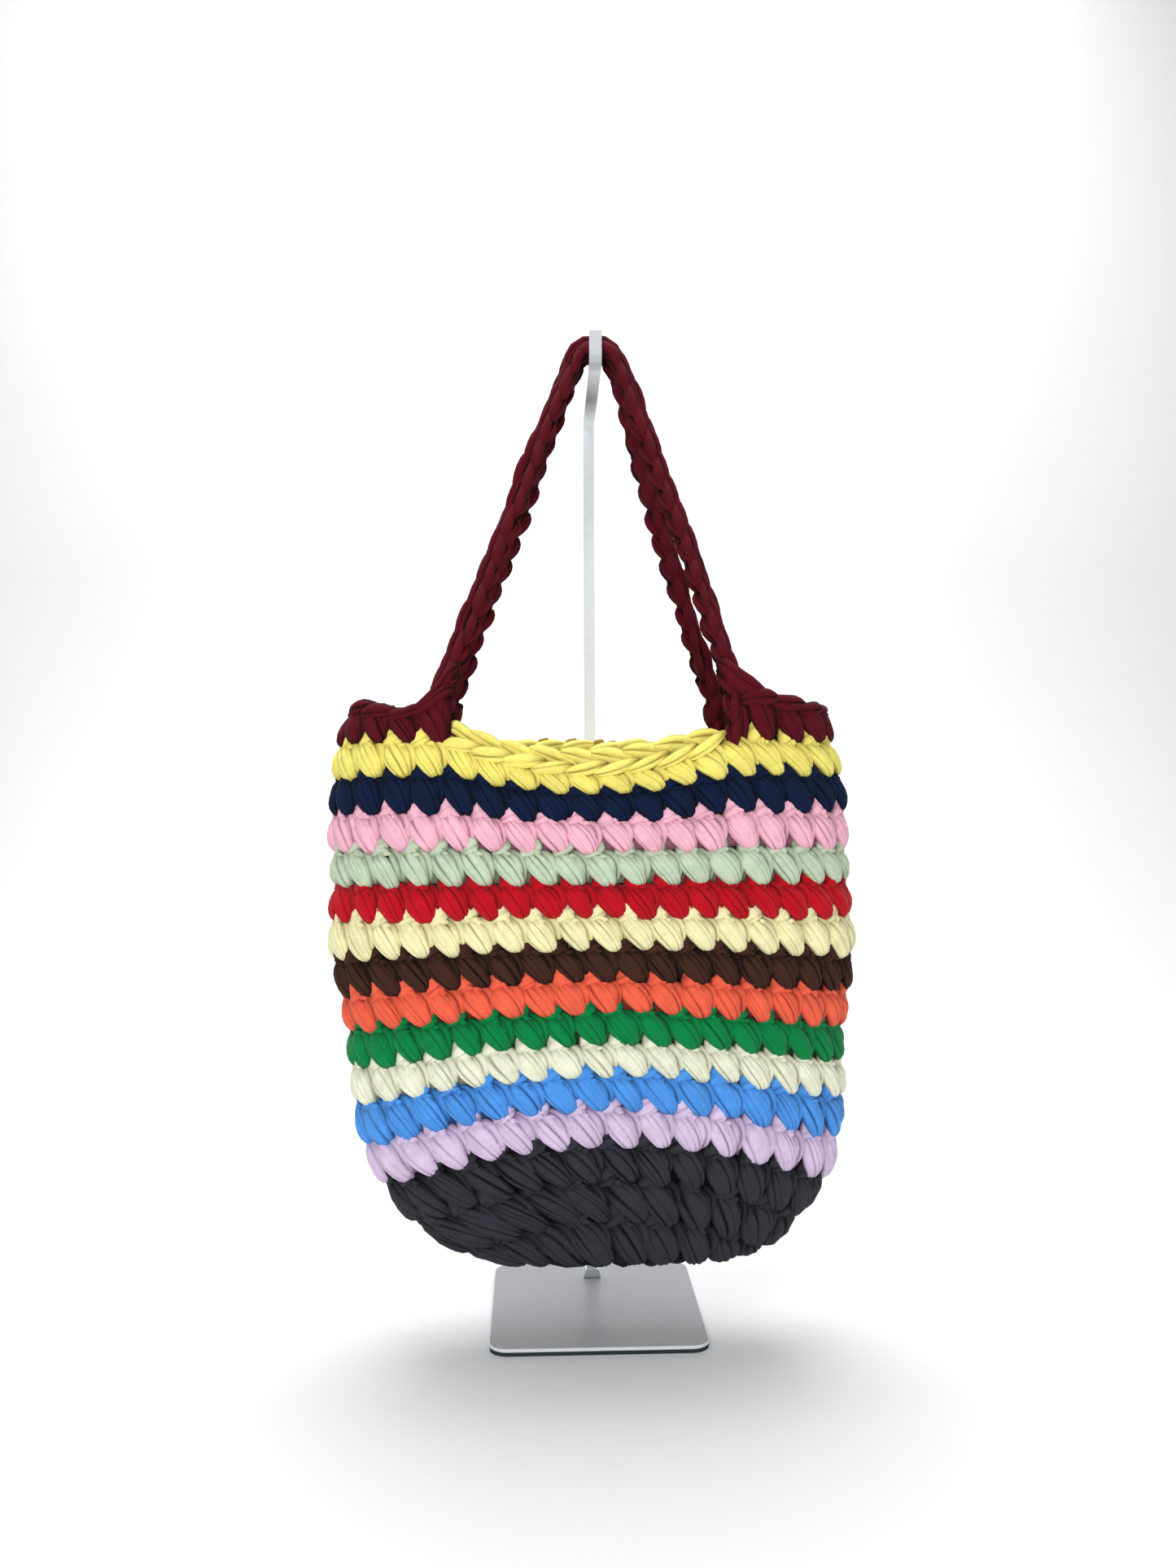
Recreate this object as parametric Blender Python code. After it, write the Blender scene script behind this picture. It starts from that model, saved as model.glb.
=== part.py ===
"""A striped shopper bag crocheted in thick jersey yarn, hung by its two handles on a counter stand.

Metres, +Z up. The origin is the centre of the stand's underside. The bag's front faces -Y, and +X is to the
right of someone who looks at the front. Every row of the bag is one thick ring that sits on the row below.
"""

import math

import bmesh
import bpy
import numpy as np

# Gap that touching pieces keep
GAP = 0.0003

# Stand
PLATE_WIDTH = 0.165
PLATE_DEPTH = 0.180
PLATE_CORNER = 0.014
PLATE_THICKNESS = 0.0027
PLATE_EDGE = 0.0006
PAD_THICKNESS = 0.0025
PAD_INSET = 0.0004
SOCKET_MARGIN = 0.0026
SOCKET_HEIGHT = 0.007
POST_INSET = 0.032
STRIP_WIDTH = 0.0093
STRIP_THICKNESS = 0.003
STRIP_BEND = 0.009
ARM_RISE = 0.011
TIP_HEIGHT = 0.0245

# Bag
BAG_WIDTH = 0.400
BAG_DEPTH = 0.162
BAG_HEIGHT = 0.392
BAG_CLEARANCE = 0.0553
BAG_FORWARD = 0.063
WALL = 0.021
PLAN_SQUARENESS = 2.3
SEAM_WAIST = 0.72
FLOOR_THICKNESS = 0.018
HANDLE_TURN = math.radians(60)

# Shoulders, which carry the handles on top of the first row
SHOULDER_HEIGHT = 0.031
SHOULDER_DIP = 0.0045
SHOULDER_RISE = 0.005
SHOULDER_WALL = 0.020

# Handles
HANDLE_DROP = 0.2595
HANDLE_WIDTH = 0.0175
HANDLE_DEPTH = 0.0165
HANDLE_SWELL = 0.006
HANDLE_INSET = 0.0070
LINK_LENGTH = 0.020
LINK_WAIST = 0.86
CREST_CLEARANCE = 0.0015

# Counts that set how finely the round pieces are cut
STATIONS = 36
HANDLE_SIDES = 8
CREST_STEPS = 9
ARC_STEPS = 6

# Rows from the rim down. Widths and depths are shares of the bag's own, heights are shares of its height above
# its lowest point. "side" is where the row's middle runs at the bag's sides, "arch" how much higher it runs at
# the middle of the front and back, "sag" how far the front hangs between the handles, and "shift" how far the
# row has slipped sideways, as a share of the width.
ROWS = [
    # name, width, depth, side, arch, sag, shift, colour
    ("row_yellow", 0.950, 0.94, 0.965, 0.008, 0.048, -0.016, (0.91, 0.75, 0.16)),
    ("row_navy", 0.974, 0.96, 0.899, 0.012, 0.030, -0.011, (0.005, 0.014, 0.065)),
    ("row_pink", 0.980, 0.98, 0.828, 0.012, 0.014, -0.014, (0.93, 0.47, 0.62)),
    ("row_sage", 0.970, 0.99, 0.763, 0.012, 0.006, -0.010, (0.54, 0.65, 0.47)),
    ("row_red", 0.980, 1.0, 0.700, 0.012, 0.0, -0.009, (0.57, 0.008, 0.018)),
    ("row_cream", 0.996, 1.0, 0.630, 0.024, 0.0, -0.009, (0.89, 0.84, 0.48)),
    ("row_brown", 0.980, 1.0, 0.556, 0.040, 0.0, -0.003, (0.034, 0.012, 0.007)),
    ("row_coral", 0.946, 1.0, 0.494, 0.046, 0.0, -0.001, (0.86, 0.13, 0.07)),
    ("row_green", 0.934, 0.99, 0.424, 0.058, 0.0, -0.002, (0.0, 0.22, 0.06)),
    ("row_ivory", 0.934, 0.98, 0.357, 0.069, 0.0, 0.004, (0.84, 0.86, 0.66)),
    ("row_blue", 0.921, 0.97, 0.287, 0.082, 0.0, 0.005, (0.07, 0.28, 0.75)),
    ("row_lilac", 0.884, 0.94, 0.210, 0.092, 0.0, 0.013, (0.67, 0.54, 0.74)),
    ("row_charcoal", 0.808, 0.90, 0.137, 0.102, 0.0, 0.013, (0.031, 0.029, 0.038)),
    ("row_charcoal_low", 0.685, 0.80, 0.070, 0.099, 0.0, 0.020, (0.031, 0.029, 0.038)),
    ("base", 0.525, 0.56, 0.030, 0.048, 0.0, 0.036, (0.031, 0.029, 0.038)),
]
NAME, WIDTH, DEPTH, SIDE, ARCH, SAG, SHIFT, COLOUR = range(8)

# The rounded section of one row: where along the row's height, and how far out from the wall's middle, as
# shares of the row's height and of half the wall. It runs down the outer side and up the inner side.
ROW_SECTION = [
    (0.0, SEAM_WAIST),
    (0.30, 0.96),
    (0.68, 1.0),
    (1.0, SEAM_WAIST),
    (1.0, -SEAM_WAIST),
    (0.5, -1.0),
    (0.0, -SEAM_WAIST),
]
LOWER_SEAM = 3

# The section of a shoulder, in the same way, from its foot up the outer side and down the inner side
SHOULDER_SECTION = [
    (0.0, SEAM_WAIST),
    (0.34, 1.0),
    (0.74, 0.86),
    (1.0, 0.94),
    (1.0, -0.94),
    (0.5, -1.0),
    (0.0, -SEAM_WAIST),
]

# The bowl that closes the bag: how far out from its centre, as a share of its top seam's distance, how high, as
# a share of the seam's height above the lowest point, and how much farther out, as a share of the wall
BOWL_OUTSIDE = [(0.97, 0.62, 0.34), (0.72, 0.17, 0.2), (0.36, 0.0, 0.0)]
BOWL_INSIDE = [(0.45, 0.0, 0.0), (0.86, 0.34, 0.0)]

BURGUNDY = (0.085, 0.004, 0.012)
LACQUER = (0.72, 0.74, 0.77)
STEEL = (0.30, 0.31, 0.33)
PAD_RUBBER = (0.006, 0.018, 0.022)

# Places worked out from the sizes above
PLATE_TOP = PAD_THICKNESS + GAP + PLATE_THICKNESS
BAG_BOTTOM = PLATE_TOP + BAG_CLEARANCE
POST_Y = PLATE_DEPTH / 2 - POST_INSET
CREST_INNER = STRIP_WIDTH / 2 + CREST_CLEARANCE
CREST_RADIUS = CREST_INNER + (HANDLE_WIDTH + HANDLE_SWELL) / 2 * math.cos(math.pi / HANDLE_SIDES)

# Stations from a bag's side to its handles, and how far out the handles stand as a share of half the width
SHOULDER_REACH = round(STATIONS * HANDLE_TURN / (2 * math.pi))
HANDLE_SPREAD = math.cos(2 * math.pi * SHOULDER_REACH / STATIONS) ** (2 / PLAN_SQUARENESS)


def clear_scene():
    """Starts from an empty scene."""
    for old in list(bpy.data.objects):
        bpy.data.objects.remove(old, do_unlink=True)


def material(name, colour, roughness, metallic=0.0):
    """A plain surface with the piece's own colour."""
    made = bpy.data.materials.new(name)
    made.use_nodes = True
    surface = made.node_tree.nodes["Principled BSDF"]
    surface.inputs["Base Color"].default_value = (*colour, 1.0)
    surface.inputs["Roughness"].default_value = roughness
    surface.inputs["Metallic"].default_value = metallic
    made.diffuse_color = (*colour, 1.0)
    return made


def yarn(name, colour):
    """Matt cotton jersey."""
    return material(name, colour, 0.85)


def add_mesh(name, points, faces, surface, sharp_angle=math.radians(50)):
    """One closed solid from points and faces, with its faces turned outwards."""
    mesh = bpy.data.meshes.new(name)
    shape = bmesh.new()
    corners = [shape.verts.new(tuple(point)) for point in points]
    for face in faces:
        shape.faces.new([corners[index] for index in face])
    bmesh.ops.recalc_face_normals(shape, faces=shape.faces)
    shape.to_mesh(mesh)
    shape.free()
    mesh.materials.append(surface)
    mesh.shade_smooth()
    mesh.set_sharp_from_angle(angle=sharp_angle)
    made = bpy.data.objects.new(name, mesh)
    bpy.context.scene.collection.objects.link(made)
    return made


def plan_angles():
    """The angle of each upright station round the bag, from the right-hand side by way of the back."""
    return np.arange(STATIONS) * 2 * math.pi / STATIONS


def plan_outline(width, depth):
    """An oval with slightly squared ends, as x and y at each station."""
    angles = plan_angles()
    power = 2 / PLAN_SQUARENESS
    x = width / 2 * np.sign(np.cos(angles)) * np.abs(np.cos(angles)) ** power
    y = depth / 2 * np.sign(np.sin(angles)) * np.abs(np.sin(angles)) ** power
    return x, y


def row_middle(row):
    """The middle of the wall along one row, a point at each station."""
    width = row[WIDTH] * BAG_WIDTH - WALL
    depth = row[DEPTH] * BAG_DEPTH - WALL
    x, y = plan_outline(width, depth)
    across = np.abs(x) / (width / 2)
    hang = np.clip(1 - (across / HANDLE_SPREAD) ** 2, 0, 1) * (y < 0)
    z = BAG_BOTTOM + BAG_HEIGHT * (row[SIDE] + row[ARCH] * (1 - across**2) - row[SAG] * hang)
    return np.column_stack([x + row[SHIFT] * BAG_WIDTH, y - BAG_FORWARD, z])


def seam_lines():
    """The seams between rows from the rim down, each a point at every station on the wall's middle."""
    middles = [row_middle(row) for row in ROWS]
    between = [(above + below) / 2 for above, below in zip(middles, middles[1:])]
    rim = 2 * middles[0] - between[0]
    return np.array([rim] + between)


def wall_frames(lines):
    """For each seam point, the way down the wall and the way out of it, both of length one."""
    down = np.gradient(lines, axis=0)
    down[0] = (0, 0, -1)
    along = np.roll(lines, -1, axis=1) - np.roll(lines, 1, axis=1)
    out = np.cross(down, along)
    down /= np.linalg.norm(down, axis=2, keepdims=True)
    out /= np.linalg.norm(out, axis=2, keepdims=True)
    return down, out


def ring_faces(loops, count, closed=True, turned=()):
    """Triangles between neighbouring loops of equal length, the last one joined to the first.

    Two rings that face each other along a seam are cut along the same diagonals, so their gap stays even. The
    loops in turned are cut along the other diagonal for that.
    """
    faces = []
    reach = count if closed else count - 1
    for loop in range(loops):
        upper = loop * count
        lower = ((loop + 1) % loops) * count
        for step in range(reach):
            after = (step + 1) % count
            if loop in turned:
                faces.append((upper + step, lower + step, upper + after))
                faces.append((upper + after, lower + step, lower + after))
            else:
                faces.append((upper + step, lower + step, lower + after))
                faces.append((upper + step, lower + after, upper + after))
    return faces


def swept_section(top, bottom, section, half_wall):
    """Loops of points for a row's section carried along the seam above it and the seam below it."""
    top_line, top_down, top_out = top
    bottom_line, bottom_down, bottom_out = bottom
    upper = top_line + top_down * GAP / 2
    lower = bottom_line - bottom_down * GAP / 2
    loops = []
    for share, reach in section:
        out = top_out * (1 - share) + bottom_out * share
        out = out / np.linalg.norm(out, axis=1, keepdims=True)
        loops.append(upper * (1 - share) + lower * share + out * reach * half_wall)
    return np.concatenate(loops)


def build_row(index, lines, down, out):
    """One crocheted row, a closed ring that bulges between its two seams."""
    row = ROWS[index]
    top = (lines[index], down[index], out[index])
    bottom = (lines[index + 1], down[index + 1], out[index + 1])
    points = swept_section(top, bottom, ROW_SECTION, WALL / 2)
    faces = ring_faces(len(ROW_SECTION), STATIONS, turned=(LOWER_SEAM,))
    add_mesh(row[NAME], points, faces, yarn(row[NAME], row[COLOUR]))


def build_base(lines, down, out):
    """The last row and the closed bottom, a shallow bowl."""
    row = ROWS[-1]
    seam = lines[-1] + down[-1] * GAP / 2
    rise = seam[:, 2:] - BAG_BOTTOM
    centre = np.array([row[SHIFT] * BAG_WIDTH, -BAG_FORWARD, 0.0])
    flat = (seam - centre) * (1, 1, 0)
    wide = flat / np.linalg.norm(flat, axis=1, keepdims=True)
    floor = (0, 0, BAG_BOTTOM + FLOOR_THICKNESS)
    bottom = (0, 0, BAG_BOTTOM)
    loops = [seam + out[-1] * SEAM_WAIST * WALL / 2]
    for table, level in ((BOWL_OUTSIDE, bottom), (BOWL_INSIDE, floor)):
        for share, height, beyond in table:
            loops.append(centre + flat * share + wide * beyond * WALL + rise * height * (0, 0, 1) + level)
    loops.append(seam - out[-1] * SEAM_WAIST * WALL / 2)
    # The underside and the floor close on the two loops next to the centre.
    under = len(BOWL_OUTSIDE)
    floor_loop = under + 1
    points = np.concatenate(loops)
    faces = ring_faces(len(loops), STATIONS)
    bridge = range(2 * STATIONS * under, 2 * STATIONS * floor_loop)
    faces = [face for index, face in enumerate(faces) if index not in bridge]
    faces.append(tuple(under * STATIONS + step for step in range(STATIONS)))
    faces.append(tuple(floor_loop * STATIONS + step for step in range(STATIONS))[::-1])
    add_mesh(row[NAME], points, faces, yarn(row[NAME], row[COLOUR]))


def shoulder_stations(side):
    """The stations that one shoulder covers, from one handle round the side to the other."""
    middle = 0 if side > 0 else STATIONS // 2
    return [(middle + step) % STATIONS for step in range(-SHOULDER_REACH, SHOULDER_REACH + 1)]


def shoulder_top(side, lines):
    """Height of a shoulder's top at each of its stations, flat under both handles."""
    seam = lines[0][shoulder_stations(side)]
    steps = np.abs(np.arange(-SHOULDER_REACH, SHOULDER_REACH + 1)) / SHOULDER_REACH
    top = seam[:, 2] + SHOULDER_HEIGHT - SHOULDER_DIP * np.sin(math.pi * steps) ** 2
    for last, before in ((0, 1), (-1, -2)):
        foot = seam[last, 2] + SHOULDER_HEIGHT + SHOULDER_RISE
        top[last] = foot
        top[before] = foot
    return top


def build_shoulder(name, side, lines, out):
    """A tab of the handles' colour that wraps one side of the bag above the first row."""
    stations = shoulder_stations(side)
    seam = lines[0][stations] + (0, 0, GAP / 2)
    outward = out[0][stations]
    top = shoulder_top(side, lines)
    upper = np.column_stack([seam[:, :2], top])
    half = SHOULDER_WALL / 2
    loops = []
    for share, reach in SHOULDER_SECTION:
        loops.append(seam * (1 - share) + upper * share + outward * reach * half)
    count = len(stations)
    sides = len(SHOULDER_SECTION)
    faces = ring_faces(sides, count, closed=False)
    faces.append(tuple(loop * count for loop in range(sides)))
    faces.append(tuple(loop * count + count - 1 for loop in range(sides))[::-1])
    add_mesh(name, np.concatenate(loops), faces, yarn(name, BURGUNDY))


def handle_foot(side, front, lines):
    """Where a handle stands on a shoulder: the middle of its foot, on the shoulder's flat end."""
    stations = shoulder_stations(side)
    first = front == (side > 0)
    last, before = (0, 1) if first else (-1, -2)
    end, inner = lines[0][stations[last]], lines[0][stations[before]]
    along = (inner - end) * (1, 1, 0)
    along /= np.linalg.norm(along)
    foot = end + along * HANDLE_INSET
    foot[2] = shoulder_top(side, lines)[last] + GAP
    return foot


def handle_path(front, lines, crest_height, crest_y):
    """Points along a handle from its left foot over the arm to its right foot, and its swell at each."""
    centre_z = crest_height - CREST_RADIUS
    radius = CREST_RADIUS
    sides = []
    for side in (-1, 1):
        foot = handle_foot(side, front, lines)
        reach = math.hypot(foot[0], centre_z - foot[2])
        lean = math.atan2(foot[2] - centre_z, side * foot[0])
        touch = lean + math.acos(radius / reach)
        start = np.array([side * radius * math.cos(touch), centre_z + radius * math.sin(touch)])
        length = math.hypot(foot[0] - start[0], foot[2] - start[1])
        links = max(2, round(length / (LINK_LENGTH / 2)))
        points = []
        for step in range(links):
            share = step / links
            x, z = np.array([foot[0], foot[2]]) * (1 - share) + start * share
            points.append((x, z, 0.0))
        for step in range(CREST_STEPS):
            share = step / CREST_STEPS
            angle = touch + (math.pi / 2 - touch) * share
            points.append((side * radius * math.cos(angle), centre_z + radius * math.sin(angle), share))
        drop = crest_height - foot[2]
        placed = []
        for x, z, swell in points:
            y = crest_y + (foot[1] - crest_y) * (crest_height - z) / drop
            placed.append((x, y, z, swell))
        sides.append(placed)
    crest = [(0.0, crest_y, crest_height, 1.0)]
    return np.array(sides[0] + crest + sides[1][::-1])


def build_handle(name, front, lines, crest_height, crest_y):
    """A chain of crocheted links from one shoulder to the other, swept as a tube with a waist at each link."""
    path = handle_path(front, lines, crest_height, crest_y)
    centres, swells = path[:, :3], path[:, 3]
    forward = np.gradient(centres, axis=0)
    forward[0] = (0, 0, 1)
    forward[-1] = (0, 0, -1)
    forward /= np.linalg.norm(forward, axis=1, keepdims=True)
    depth_way = np.array([0.0, 1.0, 0.0]) - forward * forward[:, 1:2]
    depth_way /= np.linalg.norm(depth_way, axis=1, keepdims=True)
    width_way = np.cross(forward, depth_way)
    angles = (np.arange(HANDLE_SIDES) + 0.5) * 2 * math.pi / HANDLE_SIDES
    points = []
    for step, centre in enumerate(centres):
        waist = 1.0 if step % 2 == 0 else LINK_WAIST
        plain = 1 - (1 - waist) * (1 - swells[step])
        half_width = HANDLE_WIDTH / 2 * plain + HANDLE_SWELL / 2 * swells[step]
        half_depth = HANDLE_DEPTH / 2
        for angle in angles:
            across = width_way[step] * half_width * math.cos(angle)
            points.append(centre + across + depth_way[step] * half_depth * math.sin(angle))
    count = HANDLE_SIDES
    faces = []
    for step in range(len(centres) - 1):
        for side in range(count):
            after = (side + 1) % count
            low, high = step * count, (step + 1) * count
            faces.append((low + side, high + side, high + after))
            faces.append((low + side, high + after, low + after))
    faces.append(tuple(range(count)))
    faces.append(tuple((len(centres) - 1) * count + side for side in range(count))[::-1])
    add_mesh(name, points, faces, yarn(name, BURGUNDY))


def rounded_corners(points, radius):
    """A path of straight runs in the YZ plane with each corner replaced by an arc."""
    path = [np.array(points[0])]
    for before, corner, after in zip(points, points[1:], points[2:]):
        before, corner, after = np.array(before), np.array(corner), np.array(after)
        back = (before - corner) / np.linalg.norm(before - corner)
        ahead = (after - corner) / np.linalg.norm(after - corner)
        half = math.acos(float(np.dot(back, ahead))) / 2
        turn = math.pi - 2 * half
        middle = (back + ahead) / np.linalg.norm(back + ahead)
        centre = corner + middle * radius / math.sin(half)
        start = corner + back * radius / math.tan(half) - centre
        end = corner + ahead * radius / math.tan(half) - centre
        for step in range(ARC_STEPS + 1):
            share = step / ARC_STEPS
            way = start * math.sin((1 - share) * turn) + end * math.sin(share * turn)
            path.append(centre + way / np.linalg.norm(way) * radius)
    path.append(np.array(points[-1]))
    return np.array(path)


def build_hook_post(arm_y, arm_height):
    """The flat strip: a post, an arm that comes forward and a short upturned tip."""
    foot = PLATE_TOP + GAP + SOCKET_HEIGHT + GAP
    corner_height = arm_height - ARM_RISE
    path = rounded_corners(
        [
            (POST_Y, foot),
            (POST_Y, corner_height),
            (arm_y, arm_height),
            (arm_y, arm_height + TIP_HEIGHT),
        ],
        STRIP_BEND,
    )
    ahead = np.gradient(path, axis=0)
    ahead[0] = (0, 1)
    ahead[-1] = (0, 1)
    ahead /= np.linalg.norm(ahead, axis=1, keepdims=True)
    side = np.column_stack([-ahead[:, 1], ahead[:, 0]])
    edge = side * STRIP_THICKNESS / 2
    outline = np.concatenate([path + edge, (path - edge)[::-1]])
    count = len(outline)
    points = [(x, y, z) for x in (-STRIP_WIDTH / 2, STRIP_WIDTH / 2) for y, z in outline]
    faces = []
    for step in range(count):
        after = (step + 1) % count
        faces.append((step, after, count + after))
        faces.append((step, count + after, count + step))
    half = count // 2
    for offset, turn in ((0, 1), (count, -1)):
        for step in range(half - 1):
            near, far = offset + step, offset + count - 1 - step
            faces.append((near, near + 1, far - 1, far)[::turn])
    add_mesh("hook_post", points, faces, material("hook_post", LACQUER, 0.25))


def rounded_plate(name, width, depth, corner, low, high, edge, surface):
    """A flat plate with rounded corners and a small edge all round."""
    mesh = bpy.data.meshes.new(name)
    shape = bmesh.new()
    outline = []
    for x_side, y_side, start in ((1, 1, 0), (-1, 1, 1), (-1, -1, 2), (1, -1, 3)):
        centre = (x_side * (width / 2 - corner), y_side * (depth / 2 - corner))
        for step in range(ARC_STEPS + 1):
            angle = (start + step / ARC_STEPS) * math.pi / 2
            outline.append((centre[0] + corner * math.cos(angle), centre[1] + corner * math.sin(angle)))
    bottom = shape.faces.new([shape.verts.new((x, y, low)) for x, y in outline])
    grown = bmesh.ops.extrude_face_region(shape, geom=[bottom])
    raised = [item for item in grown["geom"] if isinstance(item, bmesh.types.BMVert)]
    bmesh.ops.translate(shape, verts=raised, vec=(0, 0, high - low))
    bmesh.ops.recalc_face_normals(shape, faces=shape.faces)
    shape.to_mesh(mesh)
    shape.free()
    mesh.materials.append(surface)
    made = bpy.data.objects.new(name, mesh)
    bpy.context.scene.collection.objects.link(made)
    if edge > 0:
        bevel = made.modifiers.new("edge", "BEVEL")
        bevel.width = edge
        bevel.segments = 1
        bevel.limit_method = "ANGLE"
    return made


def build_plate():
    """The pad that the stand rests on and the sheet-metal plate above it."""
    pad_width = PLATE_WIDTH - 2 * PAD_INSET
    pad_depth = PLATE_DEPTH - 2 * PAD_INSET
    pad_corner = PLATE_CORNER - PAD_INSET
    rubber = material("base_pad", PAD_RUBBER, 0.7)
    rounded_plate("base_pad", pad_width, pad_depth, pad_corner, 0.0, PAD_THICKNESS, 0.0, rubber)
    low = PAD_THICKNESS + GAP
    steel = material("base_plate", STEEL, 0.3)
    rounded_plate("base_plate", PLATE_WIDTH, PLATE_DEPTH, PLATE_CORNER, low, PLATE_TOP, PLATE_EDGE, steel)


def build_socket():
    """The small foot block that the post stands in."""
    low = PLATE_TOP + GAP
    high = low + SOCKET_HEIGHT
    points = []
    depth = STRIP_THICKNESS / 2 + SOCKET_MARGIN
    for z, margin in ((low, SOCKET_MARGIN), (high, SOCKET_MARGIN / 3)):
        width = STRIP_WIDTH / 2 + margin
        for x, y in ((-1, -1), (1, -1), (1, 1), (-1, 1)):
            points.append((x * width, POST_Y + y * depth, z))
    faces = [(0, 1, 2, 3), (7, 6, 5, 4), (0, 4, 5, 1), (1, 5, 6, 2), (2, 6, 7, 3), (3, 7, 4, 0)]
    add_mesh("post_socket", points, faces, material("post_socket", LACQUER, 0.3))


def build_bag():
    """All rows, the base, both shoulders and both handles. Returns the height of the handles' crest."""
    lines = seam_lines()
    down, out = wall_frames(lines)
    for index in range(len(ROWS) - 1):
        build_row(index, lines, down, out)
    build_base(lines, down, out)
    build_shoulder("shoulder_left", -1, lines, out)
    build_shoulder("shoulder_right", 1, lines, out)
    foot = handle_foot(1, True, lines)
    crest_height = foot[2] + HANDLE_DROP
    spacing = HANDLE_DEPTH / 2 + GAP
    build_handle("handle_front", True, lines, crest_height, -BAG_FORWARD - spacing)
    build_handle("handle_back", False, lines, crest_height, -BAG_FORWARD + spacing)
    return crest_height


def arm_top_under(crest_height):
    """Height of the arm's top that just touches the round inner side of the handles at the strip's edges."""
    centre = crest_height - CREST_RADIUS
    clear = CREST_INNER * math.cos(math.pi / 4 / CREST_STEPS) - GAP
    return centre + math.sqrt(clear**2 - (STRIP_WIDTH / 2) ** 2)


def build_stand(crest_height):
    """The plate, the socket and the strip, as tall as the hanging bag needs."""
    build_plate()
    build_socket()
    tip_y = -BAG_FORWARD - HANDLE_DEPTH - 3 * GAP - STRIP_THICKNESS / 2
    reach = POST_Y - tip_y
    front_share = (POST_Y + BAG_FORWARD + HANDLE_DEPTH) / reach
    under_handles = arm_top_under(crest_height) - STRIP_THICKNESS / 2
    arm_height = under_handles + ARM_RISE * (1 - front_share)
    build_hook_post(tip_y, arm_height)


def main():
    clear_scene()
    crest_height = build_bag()
    build_stand(crest_height)


main()
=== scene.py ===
import itertools
import math

import bpy
import numpy as np
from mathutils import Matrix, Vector


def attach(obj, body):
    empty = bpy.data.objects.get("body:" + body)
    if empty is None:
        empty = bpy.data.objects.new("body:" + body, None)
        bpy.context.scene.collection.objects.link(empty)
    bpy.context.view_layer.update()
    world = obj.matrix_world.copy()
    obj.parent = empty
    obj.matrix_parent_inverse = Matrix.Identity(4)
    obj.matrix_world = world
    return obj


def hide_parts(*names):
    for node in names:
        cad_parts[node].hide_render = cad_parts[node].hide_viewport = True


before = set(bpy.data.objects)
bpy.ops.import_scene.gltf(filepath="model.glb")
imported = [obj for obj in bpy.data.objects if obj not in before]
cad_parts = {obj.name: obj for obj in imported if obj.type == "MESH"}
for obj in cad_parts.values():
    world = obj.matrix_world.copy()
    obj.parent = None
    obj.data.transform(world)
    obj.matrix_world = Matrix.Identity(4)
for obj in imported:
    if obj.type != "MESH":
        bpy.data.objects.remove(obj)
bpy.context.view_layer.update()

# The bag's sizes in metres, the same as the solid model's
BAG_WIDTH = 0.400
BAG_DEPTH = 0.162
BAG_HEIGHT = 0.392
BAG_BOTTOM = 0.0608
BAG_FORWARD = 0.063
WALL = 0.021
PLAN_SQUARENESS = 2.3
HANDLE_TURN = math.radians(60)
STATION = math.radians(10)
SHOULDER_HEIGHT = 0.031
SHOULDER_RISE = 0.005
HANDLE_DROP = 0.2595
HANDLE_WIDTH = 0.0175
HANDLE_DEPTH = 0.0165
HANDLE_SWELL = 0.006
HANDLE_INSET = 0.0070
HANDLE_SIDES = 8
LINK_LENGTH = 0.020
STRIP_WIDTH = 0.0093
CREST_CLEARANCE = 0.0015
GAP = 0.0003
HANDLE_SPREAD = math.cos(HANDLE_TURN) ** (2 / PLAN_SQUARENESS)
CREST_RADIUS = STRIP_WIDTH / 2 + CREST_CLEARANCE + (HANDLE_WIDTH + HANDLE_SWELL) / 2 * math.cos(
    math.pi / HANDLE_SIDES
)

# Shoulders: places from the bag's end (0) to a handle (1), and the height of their tops over the rim at each
LEFT_TOP = (
    (0, 0.3, 0.5, 0.65, 0.74, 0.84, 0.92, 1.0),
    (0.028, 0.0275, 0.0265, 0.023, 0.0215, 0.024, 0.029, 0.035),
)
RIGHT_TOP = (
    (0, 0.2, 0.5, 0.66, 0.76, 0.86, 1.0),
    (0.024, 0.025, 0.026, 0.028, 0.032, 0.035, 0.036),
)
# How far their tops lean in at the bag's two ends, where the lean runs out, and how much it grows above them
LEFT_LEAN = 0.012
RIGHT_LEAN = 0.005
LEAN_END = 0.8
EDGE_LEAN = 2.6
# How far before a handle's foot a shoulder's plain band ends and the strands to the handle start (radians),
# how much lower the second strand lies (rows) and how much deeper (metres)
BAND_SHORT = 0.10
TIE_SHORT = 0.06
TIE_DROP = 0.16
TIE_DEPTH = 0.0015

# Stitches: how wide one is, how high a row is, and how many points run round the bag in the wall's table
STITCH = 0.0222
ROW_HEIGHT = 0.0262
ROUND = 720
# The last row's stitches are taller and wider by these factors
LAST_TALL = 1.04
LAST_WIDE = 1.14
# How far below the open rim the inner stitches of its row start, as a share of a row
UNDER_RIM = 0.18
# Half the thickness of the plain bands that the stitches are worked over
BAND = 0.0045
SHOULDER_BAND = 0.005
BAND_POINTS = 120
ARC_POINTS = 40
# Rings that close the bottom: shares of the last seam's width and depth, and height over the bag's bottom
FLOOR_RINGS = ((0.78, 0.80, 0.0160), (0.30, 0.34, 0.0130), (0.004, 0.004, 0.0130))
# Stitches across the bottom stand out only this share of their usual way
FLOOR_FLATNESS = 0.5
# How much lower the rim's outer strands lie behind than in front, and how high its inner strands stand (rows)
RIM_FAR_DROP = 0.105
RIM_INNER_RISE = (0.04, 0.20)

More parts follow.
